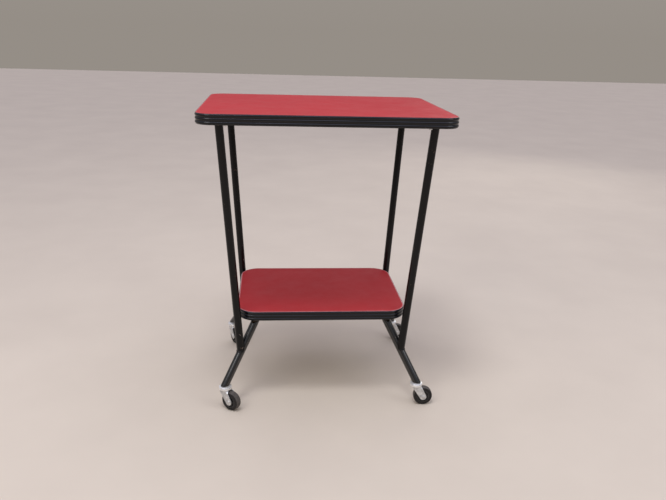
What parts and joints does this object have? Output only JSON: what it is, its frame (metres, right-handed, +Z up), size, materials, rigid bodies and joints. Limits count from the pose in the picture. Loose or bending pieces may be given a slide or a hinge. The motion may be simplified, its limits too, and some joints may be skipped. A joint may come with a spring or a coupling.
{
  "type": "two-tier tea trolley",
  "caption": "Two-tier trolley table: red laminate top and smaller shelf with ribbed black edging, splayed black tube frame, swivel casters.",
  "frame": {"origin": "on the floor below the centre of the top panel", "axes": "+Z up, +X along the width to the right seen from the front, -Y towards the front"},
  "size_m": [0.56, 0.45, 0.7],
  "materials": {
    "laminate": "semi-gloss decorative laminate, lightly scratched",
    "chipboard": "raw particle board",
    "backing": "brown backing paper, matt",
    "edging": "ribbed black plastic moulding",
    "frame_paint": "black gloss enamel on steel tube",
    "screw_steel": "plated steel",
    "zinc": "zinc plated pressed steel, dulled",
    "ball_steel": "polished steel balls",
    "axle_steel": "zinc plated steel rivet",
    "wheel_hub": "black moulded plastic",
    "wheel_tyre": "black rubber, dusty"
  },
  "bodies": {
    "frame": {"top_board": "chipboard", "top_laminate": "laminate", "top_backing": "backing", "top_edging": "edging", "shelf_board": "chipboard", "shelf_laminate": "laminate", "shelf_backing": "backing", "shelf_edging": "edging", "leg_front_left": "frame_paint", "leg_front_right": "frame_paint", "leg_rear_left": "frame_paint", "leg_rear_right": "frame_paint", "plate_front_left": "frame_paint", "plate_front_right": "frame_paint", "plate_rear_left": "frame_paint", "plate_rear_right": "frame_paint", "foot_arch_left": "frame_paint", "foot_arch_right": "frame_paint", "top_screws": "screw_steel", "shelf_screws": "screw_steel", "plug_front_left": "zinc", "plug_front_right": "zinc", "plug_rear_left": "zinc", "plug_rear_right": "zinc", "stem_front_left": "zinc", "stem_front_right": "zinc", "stem_rear_left": "zinc", "stem_rear_right": "zinc", "race_front_left": "zinc", "race_front_right": "zinc", "race_rear_left": "zinc", "race_rear_right": "zinc"},
    "caster_front_left": {"fork_front_left": "zinc", "balls_front_left": "ball_steel", "axle_front_left": "axle_steel"},
    "wheel_front_left": {"hub_front_left": "wheel_hub", "tyre_front_left": "wheel_tyre"},
    "caster_front_right": {"fork_front_right": "zinc", "balls_front_right": "ball_steel", "axle_front_right": "axle_steel"},
    "wheel_front_right": {"hub_front_right": "wheel_hub", "tyre_front_right": "wheel_tyre"},
    "caster_rear_left": {"fork_rear_left": "zinc", "balls_rear_left": "ball_steel", "axle_rear_left": "axle_steel"},
    "wheel_rear_left": {"hub_rear_left": "wheel_hub", "tyre_rear_left": "wheel_tyre"},
    "caster_rear_right": {"fork_rear_right": "zinc", "balls_rear_right": "ball_steel", "axle_rear_right": "axle_steel"},
    "wheel_rear_right": {"hub_rear_right": "wheel_hub", "tyre_rear_right": "wheel_tyre"}
  },
  "joints": [
    {"name": "swivel_front_left", "type": "hinge", "parent": "frame", "child": "caster_front_left", "pos_m": [-0.2305, -0.183, 0.053], "axis": [0, 0, 1], "continuous": true},
    {"name": "roll_front_left", "type": "hinge", "parent": "caster_front_left", "child": "wheel_front_left", "pos_m": [-0.21616, -0.19304, 0.023], "axis": [0.5736, 0.8192, 0], "continuous": true},
    {"name": "swivel_front_right", "type": "hinge", "parent": "frame", "child": "caster_front_right", "pos_m": [0.2305, -0.183, 0.053], "axis": [0, 0, 1], "continuous": true},
    {"name": "roll_front_right", "type": "hinge", "parent": "caster_front_right", "child": "wheel_front_right", "pos_m": [0.24798, -0.18392, 0.023], "axis": [0.0523, 0.9986, 0], "continuous": true},
    {"name": "swivel_rear_left", "type": "hinge", "parent": "frame", "child": "caster_rear_left", "pos_m": [-0.2305, 0.183, 0.053], "axis": [0, 0, 1], "continuous": true},
    {"name": "roll_rear_left", "type": "hinge", "parent": "caster_rear_left", "child": "wheel_rear_left", "pos_m": [-0.22175, 0.16784, 0.023], "axis": [0.866, 0.5, 0], "continuous": true},
    {"name": "swivel_rear_right", "type": "hinge", "parent": "frame", "child": "caster_rear_right", "pos_m": [0.2305, 0.183, 0.053], "axis": [0, 0, 1], "continuous": true},
    {"name": "roll_rear_right", "type": "hinge", "parent": "caster_rear_right", "child": "wheel_rear_right", "pos_m": [0.24796, 0.18422, 0.023], "axis": [-0.0698, 0.9976, 0], "continuous": true}
  ]
}
